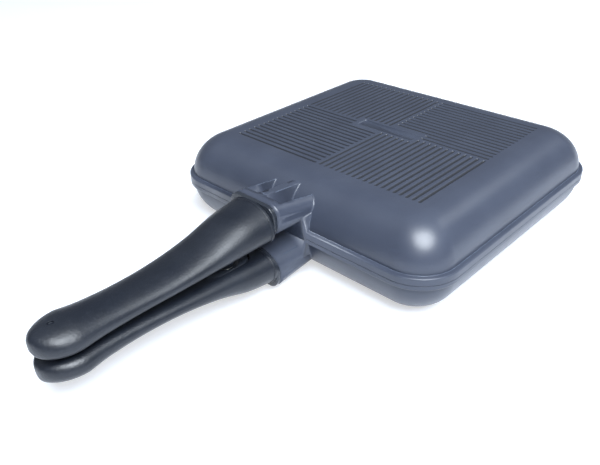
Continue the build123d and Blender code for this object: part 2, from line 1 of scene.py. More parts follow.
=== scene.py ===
"""Finishes, fine meshes, studio and camera of the double sided flip pan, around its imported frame.

Metres once placed; the sub-assemblies keep their sizes in millimetres, as a drawing does.
X across the pan, the grips point to -Y, the hinge is at +Y, Z is up.
"""

import logging
import math
from dataclasses import dataclass, field
from enum import Enum

import bmesh
import bpy
import numpy as np
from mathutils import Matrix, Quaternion, Vector


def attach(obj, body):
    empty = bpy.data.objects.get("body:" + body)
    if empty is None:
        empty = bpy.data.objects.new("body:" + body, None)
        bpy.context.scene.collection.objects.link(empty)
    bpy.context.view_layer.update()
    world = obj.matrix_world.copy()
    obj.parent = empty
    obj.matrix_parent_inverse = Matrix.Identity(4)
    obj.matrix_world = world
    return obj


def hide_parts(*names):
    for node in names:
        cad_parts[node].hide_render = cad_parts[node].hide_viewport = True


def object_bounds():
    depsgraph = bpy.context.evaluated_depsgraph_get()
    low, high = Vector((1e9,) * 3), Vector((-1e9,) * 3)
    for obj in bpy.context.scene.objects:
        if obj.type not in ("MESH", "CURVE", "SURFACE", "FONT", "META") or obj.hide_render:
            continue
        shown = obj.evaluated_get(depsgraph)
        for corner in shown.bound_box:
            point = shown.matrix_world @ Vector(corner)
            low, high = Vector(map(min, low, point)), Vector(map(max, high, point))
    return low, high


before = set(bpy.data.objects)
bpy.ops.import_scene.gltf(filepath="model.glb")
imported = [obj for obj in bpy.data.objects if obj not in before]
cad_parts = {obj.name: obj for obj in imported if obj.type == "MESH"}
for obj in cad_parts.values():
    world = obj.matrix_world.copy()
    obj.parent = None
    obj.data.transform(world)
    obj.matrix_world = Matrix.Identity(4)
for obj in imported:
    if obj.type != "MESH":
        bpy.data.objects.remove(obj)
CAD_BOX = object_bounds()
LOG = logging.getLogger("flip_pan")

MM = 0.001
PARTING = 39.8
PAN_WIDTH = 290.0
PAN_DEPTH = 271.0
RIM_CORNER = 36.5
WALL = 3.2
FLOOR = 4.2
RIM_EDGE_ROUND = 1.2
RIM_HALF_GAP = 0.2
PLATEAU_INSET = 37.7
PLATEAU_CORNER = 11.0
HANDLE_PLANE = PARTING + 2.4
OVERCUT = 1.0
TINY = 1e-9

Colour = tuple[float, float, float]
Place = tuple[float, float, float]
Band = tuple[float, float]
WHITE: Colour = (1.0, 1.0, 1.0)
Socket = bpy.types.NodeSocket
Piece = bpy.types.Object
Mesh = bpy.types.Mesh
Material = bpy.types.Material


class Side(Enum):
    """The two halves: their record name, direction outward from the parting plane and body."""

    UPPER = ("upper", 1.0, "upper_half")
    LOWER = ("lower", -1.0, "lower_half")

    @property
    def label(self) -> str:
        """First word of the half's node names."""
        return self.value[0]

    @property
    def outward(self) -> float:
        """Plus one for the half above the parting plane, minus one for the one below."""
        return self.value[1]

    @property
    def body(self) -> str:
        """Name of the moving body that the half belongs to."""
        return self.value[2]


class Slot(Enum):
    """Material slots of the record."""

    CASTING = "coated_casting"
    SEAL = "seal_silicone"
    GUARD = "guard_metal"
    GRIP = "grip_moulding"
    CARRIER = "carrier_moulding"
    MAGNET = "magnet_plating"
    SCREW = "screw_steel"
    HINGE = "hinge_steel"


class NodeTree:
    """A node tree of any kind, built by short calls."""

    def __init__(self, tree: bpy.types.NodeTree) -> None:
        """Empties a tree and keeps it."""
        tree.nodes.clear()
        self.tree = tree

    def add(self, kind: str, values: dict | None = None, **settings: object) -> bpy.types.Node:
        """Adds a node.

        Args:
            kind: Blender's type name of the node.
            values: Numbers, vectors, colours or sockets by input name or index.
            **settings: Properties of the node itself.

        Returns:
            The new node.
        """
        node = self.tree.nodes.new(kind)
        for key, value in settings.items():
            setattr(node, key, value)
        for key, value in (values or {}).items():
            if isinstance(value, Socket):
                self.tree.links.new(value, node.inputs[key])
            else:
                node.inputs[key].default_value = value
        return node

    def math(self, operation: str, *terms: Socket | float) -> Socket:
        """Joins numbers or sockets by one math operation."""
        return self.add("ShaderNodeMath", dict(enumerate(terms)), operation=operation).outputs[0]


# ---------------------------------------------------------------- finishes


class ShaderGraph(NodeTree):
    """A material's node tree, with the steps that the finishes share."""

    def __init__(self, name: str) -> None:
        """Makes an empty material.

        Args:
            name: The material's name.
        """
        self.material = bpy.data.materials.new(name)
        self.material.use_nodes = True
        super().__init__(self.material.node_tree)
        self.place = self.add("ShaderNodeTexCoord").outputs["Object"]

    def noise(self, size_mm: float, detail: float = 2.0, rough: float = 0.5) -> Socket:
        """Noise over the object's own space, with blotches of a size, as a factor of about 0.3 to 0.7."""
        values = {"Vector": self.place, "Scale": 1.0 / (size_mm * MM), "Detail": detail, "Roughness": rough}
        return self.add("ShaderNodeTexNoise", values).outputs[0]

    def spread(self, factor: Socket, low: float, high: float, start: float, end: float) -> Socket:
        """Maps a factor's range from low to high onto start to end, clamped."""
        values = {0: factor, 1: low, 2: high, 3: start, 4: end}
        return self.add("ShaderNodeMapRange", values, clamp=True).outputs[0]

    def blend(self, factor: Socket | float, first: Socket | Colour, second: Socket | Colour) -> Socket:
        """Mixes two colours.

        Args:
            factor: Share of the second, a number or socket.
            first: Colour or socket.
            second: Colour or socket.

        Returns:
            The mixed colour socket.
        """
        node = self.add("ShaderNodeMix", {0: factor}, data_type="RGBA")
        for index, colour in ((6, first), (7, second)):
            if isinstance(colour, Socket):
                self.tree.links.new(colour, node.inputs[index])
            else:
                node.inputs[index].default_value = (*colour, 1.0)
        return node.outputs[2]

    def times(self, first: Socket | float, second: Socket | float) -> Socket:
        """Multiplies two numbers or sockets."""
        return self.math("MULTIPLY", first, second)

    def plus(self, first: Socket | float, second: Socket | float) -> Socket:
        """Adds two numbers or sockets."""
        return self.math("ADD", first, second)

    def rounded_normal(self, radius_mm: float) -> Socket:
        """Normal with every edge rounded by a radius."""
        node = self.add("ShaderNodeBevel", {"Radius": radius_mm * MM}, samples=6)
        return node.outputs[0]

    def edge_mask(self, rounded: Socket, reach: float) -> Socket:
        """Marks edges, where the rounded normal leaves the true one.

        Args:
            rounded: A rounded normal.
            reach: Difference at which the mask is full.

        Returns:
            Socket that is 0 on flats and 1 at edges.
        """
        true_normal = self.add("ShaderNodeNewGeometry").outputs["Normal"]
        values = {0: rounded, 1: true_normal}
        alike = self.add("ShaderNodeVectorMath", values, operation="DOT_PRODUCT").outputs["Value"]
        return self.spread(alike, 1.0, 1.0 - reach, 0.0, 1.0)

    def bump(self, height: Socket, strength: float, depth_mm: float, normal: Socket | None = None) -> Socket:
        """Bumps a normal by a height.

        Args:
            height: Height socket, 0 to 1.
            strength: Strength of the effect.
            depth_mm: Height of a full step.
            normal: Normal socket to start from, or None for the surface's own.

        Returns:
            The new normal socket.
        """
        values = {"Strength": strength, "Distance": depth_mm * MM, "Height": height}
        if normal is not None:
            values["Normal"] = normal
        return self.add("ShaderNodeBump", values).outputs[0]

    def close(self, colour: Socket, roughness: Socket, normal: Socket, **surface: float) -> Material:
        """Ends the graph in a principled surface.

        Args:
            colour: Base colour socket.
            roughness: Roughness socket.
            normal: Normal socket.
            **surface: Uniform values by input name with spaces as underscores.

        Returns:
            The finished material.
        """
        values = {"Base Color": colour, "Roughness": roughness, "Normal": normal}
        shader = self.add("ShaderNodeBsdfPrincipled", values)
        for key, value in surface.items():
            shader.inputs[key.replace("_", " ")].default_value = value
        self.add("ShaderNodeOutputMaterial", {0: shader.outputs[0]})
        return self.material


@dataclass(frozen=True)
class Coating:
    """Sprayed satin non-stick coating on a casting: fine grain, faint mottling, paler edges partly from wear
    and partly painted highlight, and painted shade in the grooves.
    """

    name: str = "coated_casting"
    base: Colour = (0.039, 0.046, 0.068)
    mottled: Colour = (0.046, 0.054, 0.078)
    # Colour of the paler edges: partly wear, partly painted highlight where light catches the rounded edges.
    edge: Colour = (0.20, 0.25, 0.35)
    edge_radius: float = 0.9
    groove_edge: float = 0.25
    seam_reach: float = 1.5
    gloss: float = 0.31
    dull: float = 0.36
    grain: float = 0.55
    grain_depth: float = 0.05
    ripple: float = 5.0
    top: float = 80.5
    groove_depth: float = 1.0
    # Painted shade: share of the base colour left on the grooves' floors.
    groove_painted_shade: float = 0.22
    pattern_across: Band = (0.0, 103.2)
    pattern_along: Band = (2.7, 94.4)
    panel_across: Band = (-1.25, 31.0)
    panel_along: Band = (5.3, 7.0)

    def grooves(self, graph: ShaderGraph) -> tuple[Socket, Socket]:
        """Where the coating lies in the pattern, and on its grooves' floors, where painted shade darkens it.

        Args:
            graph: The coating's graph.

        Returns:
            Two sockets: one over the whole pattern, and one on the grooves' floors alone.
        """
        across, along, up = graph.add("ShaderNodeSeparateXYZ", {"Vector": graph.place}).outputs
        depth = self.inside(graph, up, (self.top / 2, self.top / 2))
        pattern = graph.spread(depth, 1.3 * MM, 1.6 * MM, 1.0, 0.0)
        for axis, band in ((across, self.pattern_across), (along, self.pattern_along)):
            inward = self.inside(graph, axis, band)
            pattern = graph.times(pattern, graph.spread(inward, 0.0, 0.2 * MM, 0.0, 1.0))
        sunk = graph.spread(depth, 0.05 * MM, 0.7 * self.groove_depth * MM, 0.0, 1.0)
        floors = graph.times(pattern, sunk)
        panel = [self.inside(graph, across, self.panel_across), self.inside(graph, along, self.panel_along)]
        in_panel = [graph.spread(side, 0.0, 0.2 * MM, 0.0, 1.0) for side in panel]
        bare = graph.spread(graph.times(*in_panel), 0.0, 1.0, 1.0, 0.0)
        return pattern, graph.times(floors, bare)

    def inside(self, graph: ShaderGraph, axis: Socket, band: Band) -> Socket:
        """How far a coordinate lies inside a band, in metres.

        Args:
            graph: The coating's graph.
            axis: The coordinate.
            band: The band's middle and half its width, in millimetres.

        Returns:
            The distance, below nought outside the band.
        """
        middle, half = band
        away = graph.math("ABSOLUTE", graph.math("SUBTRACT", axis, middle * MM))
        return graph.math("SUBTRACT", half * MM, away)

    def material(self) -> Material:
        """Builds the coating's material.

        Returns:
            The material.
        """
        graph = ShaderGraph(self.name)
        mottling = graph.noise(38.0, 3.0)
        specks = graph.noise(self.grain, 2.0, 0.7)
        colour = graph.blend(graph.spread(mottling, 0.35, 0.65, 0.0, 1.0), self.base, self.mottled)
        dark = tuple(0.82 * part for part in self.base)
        colour = graph.blend(graph.spread(specks, 0.5, 0.72, 0.0, 0.5), colour, dark)
        pattern, floors = self.grooves(graph)
        rounded = graph.rounded_normal(self.edge_radius)
        up = graph.add("ShaderNodeSeparateXYZ", {"Vector": graph.place}).outputs[2]
        near_parting = self.inside(graph, up, (PARTING, self.seam_reach))
        seam = graph.spread(near_parting, 0.0, 0.3 * MM, 0.0, 1.0)
        crisp = graph.math("MAXIMUM", pattern, seam)
        finer = graph.spread(crisp, 0.0, 1.0, self.edge_radius * MM, self.groove_edge * MM)
        graph.tree.links.new(finer, rounded.node.inputs["Radius"])
        # Paler edges: partly wear, partly painted highlight, kept faint on the pattern and off the parting
        # seam.
        patchy = graph.spread(graph.noise(3.0), 0.3, 0.7, 0.15, 0.5)
        wear_and_highlight = graph.times(graph.edge_mask(rounded, 0.12), patchy)
        wear_and_highlight = graph.times(wear_and_highlight, graph.spread(pattern, 0.0, 1.0, 1.0, 0.4))
        wear_and_highlight = graph.times(wear_and_highlight, graph.spread(seam, 0.0, 1.0, 1.0, 0.0))
        colour = graph.blend(wear_and_highlight, colour, self.edge)
        # Painted shade: the grooves' floors darkened to about a fifth of the base colour.
        colour = graph.blend(floors, colour, tuple(self.groove_painted_shade * part for part in self.base))
        smears = graph.spread(graph.noise(60.0, 5.0, 0.6), 0.35, 0.65, 0.0, 1.0)
        roughness = graph.spread(smears, 0.0, 1.0, self.gloss, self.dull)
        roughness = graph.plus(roughness, graph.spread(specks, 0.3, 0.7, -0.03, 0.03))
        roughness = graph.plus(roughness, graph.times(floors, 0.3))
        normal = graph.bump(graph.noise(self.ripple, 1.0), 0.25, 0.04, rounded)
        normal = graph.bump(specks, 0.35, self.grain_depth, normal)
        return graph.close(colour, roughness, normal, Specular_IOR_Level=0.5)


@dataclass(frozen=True)
class Moulding:
    """Pressed phenolic or similar plastic with a fine, slightly speckled skin."""

    name: str
    base: Colour
    speckle: Colour
    gloss: float = 0.35
    dull: float = 0.46
    grain: float = 1.1
    grain_depth: float = 0.16
    edge_radius: float = 0.4

    def material(self) -> Material:
        """Builds the moulding's material.

        Returns:
            The material.
        """
        graph = ShaderGraph(self.name)
        grain = graph.noise(self.grain, 3.0, 0.65)
        cloud = graph.noise(22.0, 4.0, 0.6)
        colour = graph.blend(graph.spread(cloud, 0.3, 0.7, 0.0, 0.35), self.base, self.speckle)
        colour = graph.blend(graph.spread(grain, 0.55, 0.75, 0.0, 0.8), colour, self.speckle)
        roughness = graph.spread(graph.noise(35.0, 5.0, 0.6), 0.35, 0.65, self.gloss, self.dull)
        roughness = graph.plus(roughness, graph.spread(grain, 0.3, 0.7, -0.04, 0.04))
        rounded = graph.rounded_normal(self.edge_radius)
        normal = graph.bump(graph.noise(1.8, 2.0), 0.6, 0.22, rounded)
        normal = graph.bump(grain, 0.6, self.grain_depth, normal)
        return graph.close(colour, roughness, normal, Specular_IOR_Level=0.5)


@dataclass(frozen=True)
class BareMetal:
    """Turned or plated steel with faint tool marks and dull patches."""

    name: str
    base: Colour
    tarnish: Colour
    gloss: float = 0.22
    dull: float = 0.42
    mark: float = 0.18
    edge_radius: float = 0.2

    def material(self) -> Material:
        """Builds the metal's material.

        Returns:
            The material.
        """
        graph = ShaderGraph(self.name)
        stretch = graph.add("ShaderNodeMapping", {"Vector": graph.place, "Scale": (1.0, 6.0, 6.0)})
        values = {"Vector": stretch.outputs[0], "Scale": 1.0 / (self.mark * 6.0 * MM), "Detail": 3.0}
        marks = graph.add("ShaderNodeTexNoise", values).outputs[0]
        patches = graph.noise(2.6, 4.0, 0.6)
        colour = graph.blend(graph.spread(patches, 0.4, 0.7, 0.0, 0.6), self.base, self.tarnish)
        roughness = graph.spread(patches, 0.3, 0.7, self.gloss, self.dull)
        roughness = graph.plus(roughness, graph.spread(marks, 0.3, 0.7, -0.05, 0.05))
        normal = graph.bump(marks, 0.3, 0.02, graph.rounded_normal(self.edge_radius))
        return graph.close(colour, roughness, normal, Metallic=1.0)


@dataclass(frozen=True)
class Silicone:
    """Matte silicone with a dusty bloom."""

    name: str = "seal_silicone"
    base: Colour = (0.028, 0.029, 0.033)
    bloom: Colour = (0.055, 0.057, 0.062)

    def material(self) -> Material:
        """Builds the silicone's material.

        Returns:
            The material.
        """
        graph = ShaderGraph(self.name)
        bloom = graph.noise(6.0, 5.0, 0.65)
        colour = graph.blend(graph.spread(bloom, 0.4, 0.7, 0.0, 0.7), self.base, self.bloom)
        roughness = graph.spread(bloom, 0.3, 0.7, 0.6, 0.78)
        normal = graph.bump(graph.noise(0.4, 2.0), 0.3, 0.03)
        return graph.close(colour, roughness, normal, Specular_IOR_Level=0.4)


@dataclass
class FinishBook:
    """One material for each slot of the record."""

    materials: dict[Slot, Material] = field(default_factory=dict)

    def fill(self) -> "FinishBook":
        """Builds every material.

        Returns:
            The filled book.
        """
        guard = {"edge_radius": 0.5, "gloss": 0.22, "dull": 0.28}
        finishes = {
            Slot.CASTING: Coating(),
            Slot.GUARD: Coating("guard_metal", (0.016, 0.019, 0.026), (0.022, 0.026, 0.034), **guard),
            Slot.SEAL: Silicone(),
            Slot.GRIP: Moulding("grip_moulding", (0.005, 0.007, 0.012), (0.017, 0.021, 0.031)),
            Slot.CARRIER: Moulding("carrier_moulding", (0.024, 0.029, 0.040), (0.036, 0.042, 0.054), 0.32),
            Slot.MAGNET: BareMetal("magnet_plating", (0.62, 0.61, 0.58), (0.42, 0.41, 0.39)),
            Slot.SCREW: BareMetal("screw_steel", (0.42, 0.42, 0.43), (0.27, 0.27, 0.28)),
            Slot.HINGE: BareMetal("hinge_steel", (0.50, 0.50, 0.51), (0.34, 0.34, 0.35)),
        }
        for slot, finish in finishes.items():
            self.materials[slot] = finish.material()
        return self

    def dress(self, piece: Piece, slot: Slot) -> Piece:
        """Gives a piece one slot's material.

        Args:
            piece: The piece.
            slot: The slot of its finish.

        Returns:
            The piece.
        """
        piece.data.materials.clear()
        piece.data.materials.append(self.materials[slot])
        return piece


# ---------------------------------------------------------------- meshes


def new_piece(name: str, mesh: Mesh) -> Piece:
    """Links a new object with a mesh.

    Args:
        name: The piece's name.
        mesh: Its mesh, already in place.

    Returns:
        The object, at the origin.
    """
    piece = bpy.data.objects.new(name, mesh)
    mesh.name = name
    bpy.context.scene.collection.objects.link(piece)
    return piece


def settle(piece: Piece, side: Side, slot: Slot, *nodes: str) -> Piece:
    """Puts a piece on its body, in place of nodes.

    Args:
        piece: The finished piece.
        side: The half that it moves with.
        slot: The record's slot of its finish; not used.
        *nodes: The nodes that it stands for.

    Returns:
        The piece.
    """
    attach(piece, side.body)
    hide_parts(*nodes)
    return piece


def merged_copy(node: str, name: str) -> Piece:
    """Copies a node's loose triangles into a new piece whose vertices are joined.

    Args:
        node: The node's name.
        name: The new piece's name.

    Returns:
        The new piece.
    """
    work = bmesh.new()
    work.from_mesh(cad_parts[node].data)
    bmesh.ops.remove_doubles(work, verts=work.verts, dist=0.002 * MM)
    mesh = bpy.data.meshes.new(name)
    work.to_mesh(mesh)
    work.free()
    return new_piece(name, mesh)


def smooth_by_angle(piece: Piece, degrees: float = 35.0) -> Piece:
    """Shades a piece smooth, with its sharpest edges kept.

    Args:
        piece: The piece.
        degrees: Angle over which an edge stays sharp.

    Returns:
        The piece.
    """
    mesh = piece.data
    mesh.polygons.foreach_set("use_smooth", [True] * len(mesh.polygons))
    mesh.set_sharp_from_angle(angle=math.radians(degrees))
    return piece


def applied(piece: Piece) -> Piece:
    """Turns a piece's modifiers into its plain mesh.

    Args:
        piece: The piece with its modifiers.

    Returns:
        The same object, without modifiers.
    """
    graph = bpy.context.evaluated_depsgraph_get()
    whole = piece.evaluated_get(graph)
    mesh = bpy.data.meshes.new_from_object(whole, preserve_all_data_layers=True, depsgraph=graph)
    piece.modifiers.clear()
    piece.data = mesh
    return piece


def plain_faces(piece: Piece) -> Piece:
    """Joins a flat-sided piece's coplanar triangles into whole faces.

    Args:
        piece: The piece.

    Returns:
        The piece.
    """
    work = bmesh.new()
    work.from_mesh(piece.data)
    bmesh.ops.dissolve_limit(
        work, angle_limit=math.radians(0.6), verts=work.verts, edges=work.edges, use_dissolve_boundaries=False
    )
    work.to_mesh(piece.data)
    work.free()
    return piece


def edge_rounded(piece: Piece, width_mm: float, segments: int = 3) -> Piece:
    """Rounds a piece's sharp edges with real geometry.

    Args:
        piece: The piece, with whole faces.
        width_mm: Width of the rounding.
        segments: Steps across it.

    Returns:
        The piece.
    """
    bevel = piece.modifiers.new("edges", "BEVEL")
    bevel.width = width_mm * MM
    bevel.segments = segments
    bevel.limit_method = "ANGLE"
    bevel.angle_limit = math.radians(35)
    bevel.harden_normals = True
    bevel.use_clamp_overlap = True
    return applied(piece)


def rounded_node(
    node: str, kind: str, width_mm: float, book: FinishBook, side: Side, slot: Slot, segments: int = 3
) -> Piece:
    """Makes a node's finished piece, with its sharp edges rounded.

    Args:
        node: The node that it stands for.
        kind: Last word of the piece's name.
        width_mm: Width of the rounding.
        book: The materials.
        side: The half that it moves with.
        slot: The slot of its finish.
        segments: Steps across the rounding.

    Returns:
        The finished piece.
    """
    piece = edge_rounded(plain_faces(merged_copy(node, f"{node}_{kind}")), width_mm, segments)
    smooth_by_angle(piece)
    book.dress(piece, slot)
    return settle(piece, side, slot, node)


class SizedTree(NodeTree):
    """A Geometry Nodes tree with named sizes, run once to make a plain mesh."""

    def __init__(self, name: str) -> None:
        """Makes a tree with a mesh input and output.

        Args:
            name: The tree's name.
        """
        super().__init__(bpy.data.node_groups.new(name, "GeometryNodeTree"))
        for way in ("OUTPUT", "INPUT"):
            self.tree.interface.new_socket("Geometry", in_out=way, socket_type="NodeSocketGeometry")
        self.start = self.tree.nodes.new("NodeGroupInput")
        self.end = self.tree.nodes.new("NodeGroupOutput")
        self.values: dict[str, float | int] = {}

    def size(self, name: str, value: float | int) -> Socket:
        """Adds a named input.

        Args:
            name: The input's name.
            value: Its value; a whole number makes an integer input.

        Returns:
            The socket to use inside the tree.
        """
        kind = "NodeSocketInt" if isinstance(value, int) else "NodeSocketFloat"
        item = self.tree.interface.new_socket(name, in_out="INPUT", socket_type=kind)
        self.values[item.identifier] = value
        return next(socket for socket in self.start.outputs if socket.identifier == item.identifier)

    def length(self, name: str, millimetres: float) -> Socket:
        """Adds a named length, given in millimetres."""
        return self.size(name, millimetres * MM)

    def vector(self, **axes: Socket | float) -> Socket:
        """Joins up to three numbers or sockets, by axis, into a vector."""
        return self.add("ShaderNodeCombineXYZ", axes).outputs[0]

    def moved(self, geometry: Socket, place: Socket) -> Socket:
        """Moves a geometry by a vector."""
        return self.add("GeometryNodeTransform", {"Geometry": geometry, "Translation": place}).outputs[0]

    def round_rectangle(self, width: Socket, height: Socket, radius: Socket, steps: Socket | int) -> Socket:
        """Outline of a rectangle with round corners.

        Args:
            width: Its size along X.
            height: Its size along Y.
            radius: Radius of the corners.
            steps: Points round each corner.

        Returns:
            The closed curve.
        """
        path = self.add("GeometryNodeCurvePrimitiveQuadrilateral", {"Width": width, "Height": height})
        values = {"Curve": path.outputs[0], "Radius": radius, "Count": steps}
        return self.add("GeometryNodeFilletCurve", values, mode="POLY").outputs[0]

    def reading(self, name: str) -> Socket:
        """Reads a named number that the guide carries."""
        return self.add("GeometryNodeInputNamedAttribute", {"Name": name}, data_type="FLOAT").outputs[0]

    def make(self, guide: Mesh, result: Socket, material: Material, name: str) -> Piece:
        """Ends the tree, runs it on a guide and keeps the result as a plain mesh.

        Args:
            guide: Mesh that the tree starts from.
            result: Geometry socket of the finished shape.
            material: The piece's material.
            name: The piece's name.

        Returns:
            The finished piece, with no modifier left.
        """
        real = self.add("GeometryNodeRealizeInstances", {0: result})
        dressed = self.add("GeometryNodeSetMaterial", {"Geometry": real.outputs[0], "Material": material})
        self.tree.links.new(dressed.outputs[0], self.end.inputs[0])
        piece = new_piece(name, guide)
        modifier = piece.modifiers.new(name, "NODES")
        modifier.node_group = self.tree
        for identifier, value in self.values.items():
            modifier[identifier] = value
        return applied(piece)


# ---------------------------------------------------------------- half pans


def read(items: bpy.types.bpy_prop_collection, name: str) -> np.ndarray:
    """Reads a three-part property of a mesh's vertices or faces.

    Args:
        items: The vertices or faces.
        name: The property's name.

    Returns:
        Its values, one item a row.
    """
    values = np.empty(len(items) * 3)
    items.foreach_get(name, values)
    return values.reshape(-1, 3)


@dataclass(frozen=True)
class DomeSurface:
    """Curved wall of a half pan: rounded rectangles that shrink along a quarter ellipse."""

    inset: float
    low: float
    run: float
    rise: float
    top_corner: float

    def leaning(self, points: np.ndarray) -> tuple[np.ndarray, np.ndarray]:
        """Distance from the wall and its normal, in a half's own frame.

        Args:
            points: Points in millimetres, one a row.

        Returns:
            The signed distances and the outward unit normals.
        """
        share = np.clip((points[:, 2] - self.low) / self.rise, 0.0, 1.0)
        falling = np.sqrt(1.0 - share**2)
        sunk = self.run * (1.0 - falling)
        narrowing = (self.top_corner - RIM_CORNER + self.inset) / self.run
        corner = RIM_CORNER - self.inset + narrowing * sunk
        half = np.array([PAN_WIDTH / 2, PAN_DEPTH / 2])[None, :] - (self.inset + sunk)[:, None]
        beyond = np.abs(points[:, :2]) - half + corner[:, None]
        out = np.maximum(beyond, 0.0)
        reach = np.linalg.norm(out, axis=1)
        distance = reach + np.minimum(beyond.max(axis=1), 0.0) - corner
        flat = np.zeros_like(out)
        flat[np.arange(len(out)), beyond.argmax(axis=1)] = 1.0
        turned = reach > TINY
        level = np.where(turned[:, None], out / np.maximum(reach, TINY)[:, None], flat)
        rounding = (1.0 + narrowing) * level.sum(axis=1) - narrowing
        climb = self.run / self.rise * share * np.where((out > 0).all(axis=1), rounding, 1.0)
        normal = np.column_stack([level * np.sign(points[:, :2]) * falling[:, None], climb])
        length = np.linalg.norm(normal, axis=1)
        return distance * falling / length, normal / length[:, None]


@dataclass
class HalfPan:
    """One cast half: dome, grooved face, rim flange and handle bracket in one piece."""

    side: Side
    flange: float
    ledge: float
    rise: float
    closeness: float = 0.12
    end_margin: float = 0.02
    facing_over: float = 0.93
    settling_steps: int = 3
    sharp_over: float = 28.0

    def walls(self) -> list[tuple[DomeSurface, float]]:
        """Works out the outer and the inner wall.

        Returns:
            Each wall's surface, with the sign of its outward side.
        """
        seat = RIM_HALF_GAP + self.flange
        inner = self.ledge + WALL
        run = PLATEAU_INSET - self.ledge
        low = seat - RIM_EDGE_ROUND
        outer_wall = DomeSurface(self.ledge, low, run, self.rise + RIM_EDGE_ROUND, PLATEAU_CORNER)
        inner_wall = DomeSurface(inner, seat, run - WALL / 2, self.rise - FLOOR, PLATEAU_CORNER - WALL)
        return [(outer_wall, 1.0), (inner_wall, -1.0)]

    def local(self, points: np.ndarray) -> np.ndarray:
        """Brings places into the half's own frame.

        Args:
            points: Places in metres, one a row.

        Returns:
            The places in millimetres, with Z outward from the parting plane.
        """
        moved = points / MM
        moved[:, 2] = (moved[:, 2] - PARTING) * self.side.outward
        return moved

    def refine(self, piece: Piece) -> None:
        """Divides the dome's triangles and sets the new points on the true curve.

        Args:
            piece: The merged copy of the casting.
        """
        for wall, facing in self.walls():
            work = bmesh.new()
            work.from_mesh(piece.data)
            work.verts.ensure_lookup_table()
            work.faces.ensure_lookup_table()
            on_wall = self.faces_on(piece.data, wall, facing)
            chosen = {work.faces[int(index)] for index in np.flatnonzero(on_wall)}
            edges = [edge for edge in work.edges if all(face in chosen for face in edge.link_faces)]
            made = bmesh.ops.subdivide_edges(work, edges=edges, cuts=1, use_grid_fill=True)
            fresh = [item for item in made["geom_inner"] if isinstance(item, bmesh.types.BMVert)]
            places = np.array([vert.co for vert in fresh], float)
            for _ in range(self.settling_steps):
                distance, normal = wall.leaning(self.local(places.copy()))
                normal[:, 2] *= self.side.outward
                places -= normal * distance[:, None] * MM
            places[:, 2] = np.clip(places[:, 2], CAD_BOX[0][2], CAD_BOX[1][2])
            for vert, place in zip(fresh, places):
                vert.co = place
            bmesh.ops.triangulate(work, faces=[face for face in work.faces if len(face.verts) > 4])
            work.to_mesh(piece.data)
            work.free()

    def faces_on(self, mesh: Mesh, wall: DomeSurface, facing: float) -> np.ndarray:
        """Which faces of a mesh lie on a wall.

        Args:
            mesh: The casting's mesh.
            wall: The wall's true surface.
            facing: Plus one where the faces look out from the wall, minus one inward.

        Returns:
            One truth value for each face.
        """
        points = self.local(read(mesh.vertices, "co"))
        distance, normal = wall.leaning(points)
        height = points[:, 2] - wall.low
        below_top = height < wall.rise + self.end_margin
        inside = (height > 0.05) & below_top
        near = (np.abs(distance) < self.closeness) & (height > -self.end_margin) & below_top
        flat_normal = read(mesh.polygons, "normal")
        result = np.zeros(len(mesh.polygons), bool)
        for face in mesh.polygons:
            corners = list(face.vertices)
            if near[corners].all() and inside[corners].any():
                mean = normal[corners].mean(axis=0) * (1.0, 1.0, self.side.outward)
                result[face.index] = facing * float(mean @ flat_normal[face.index]) > self.facing_over
        return result

    def true_normals(self, piece: Piece) -> None:
        """Gives the dome's faces the exact normals of their curve.

        Args:
            piece: The casting.
        """
        mesh = piece.data
        points = self.local(read(mesh.vertices, "co"))
        corner_vertex = np.empty(len(mesh.loops), int)
        mesh.loops.foreach_get("vertex_index", corner_vertex)
        wanted = np.zeros((len(mesh.loops), 3))
        for wall, facing in self.walls():
            normal = wall.leaning(points)[1] * (1.0, 1.0, self.side.outward) * facing
            for index in np.flatnonzero(self.faces_on(mesh, wall, facing)):
                chosen = list(mesh.polygons[int(index)].loop_indices)
                wanted[chosen] = normal[corner_vertex[chosen]]
        mesh.normals_split_custom_set(wanted.tolist())

    def build(self, book: FinishBook) -> Piece:
        """Makes and dresses the half's casting.

        Args:
            book: The materials.

        Returns:
            The finished piece.
        """
        node = f"{self.side.label}_pan"
        piece = merged_copy(node, f"{node}_casting")
        self.refine(piece)
        smooth_by_angle(piece, self.sharp_over)
        self.true_normals(piece)
        book.dress(piece, Slot.CASTING)
        return settle(piece, self.side, Slot.CASTING, node)


@dataclass
class RimSeal:
    """Silicone bead that follows the rim, seated in the lower flange."""

    width: float = 2.4
    inset: float = 2.4
    depth: float = 2.4
    stand: float = 0.2
    crown_share: float = 0.22
    crown_steps: int = 10
    corner_steps: int = 24

    def build(self, book: FinishBook) -> Piece:
        """Sweeps the bead round the rim.

        Args:
            book: The materials.

        Returns:
            The finished piece.
        """
        tree = SizedTree("rim_seal_sweep")
        middle = self.inset + self.width / 2
        floor = PARTING - RIM_HALF_GAP - self.depth
        crest = PARTING - RIM_HALF_GAP + self.stand
        width = tree.length("Rim width", PAN_WIDTH - 2 * middle)
        depth = tree.length("Rim depth", PAN_DEPTH - 2 * middle)
        corner = tree.length("Rim corner", RIM_CORNER - middle)
        bead = tree.length("Bead width", self.width)
        tall = tree.length("Bead height", crest - floor)
        level = tree.length("Bead middle", (crest + floor) / 2)
        steps = tree.size("Corner steps", self.corner_steps)
        path = tree.round_rectangle(width, depth, corner, steps)
        crown = tree.math("MULTIPLY", bead, self.crown_share)
        profile = tree.round_rectangle(bead, tall, crown, self.crown_steps)
        swept = tree.add("GeometryNodeCurveToMesh", {"Curve": path, "Profile Curve": profile}).outputs[0]
        placed = tree.moved(swept, tree.vector(Z=level))
        path_mesh = bpy.data.meshes.new("seal_path")
        piece = tree.make(path_mesh, placed, book.materials[Slot.SEAL], "rim_seal_bead")
        face_outward(piece)
        smooth_by_angle(piece, 40.0)
        return settle(piece, Side.LOWER, Slot.SEAL, "rim_seal")


